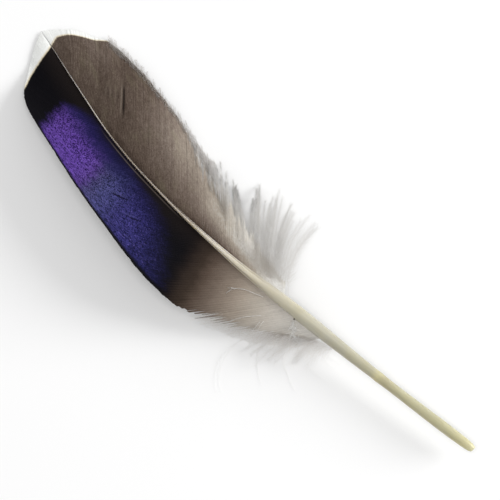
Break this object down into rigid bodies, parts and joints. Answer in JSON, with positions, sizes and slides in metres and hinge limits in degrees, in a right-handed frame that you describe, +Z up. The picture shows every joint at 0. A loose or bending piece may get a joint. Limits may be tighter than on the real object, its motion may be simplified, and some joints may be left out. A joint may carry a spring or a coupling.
{
  "type": "mallard secondary feather",
  "caption": "Duck's wing feather lying top side up: bowed horn shaft, violet and blue outer vane with a pale tip, brown inner vane, and soft down at the base.",
  "frame": {"origin": "middle of the bounding box's base, on the surface that the feather lies on", "axes": "+X from the quill's end to the feather's tip, +Y towards the outer, iridescent vane, +Z up, out of the feather's top side"},
  "size_m": [0.1264, 0.0406, 0.0113],
  "materials": {
    "feather": "matte barbs in closed vanes",
    "shaft": "translucent satin horn",
    "outer_vane": "iridescent violet and blue barbs in black, brown at the base, pale at the tip",
    "inner_vane": "matte brown-grey barbs",
    "down": "soft pale down"
  },
  "bodies": {
    "root": {"feather": "feather"}
  },
  "joints": []
}
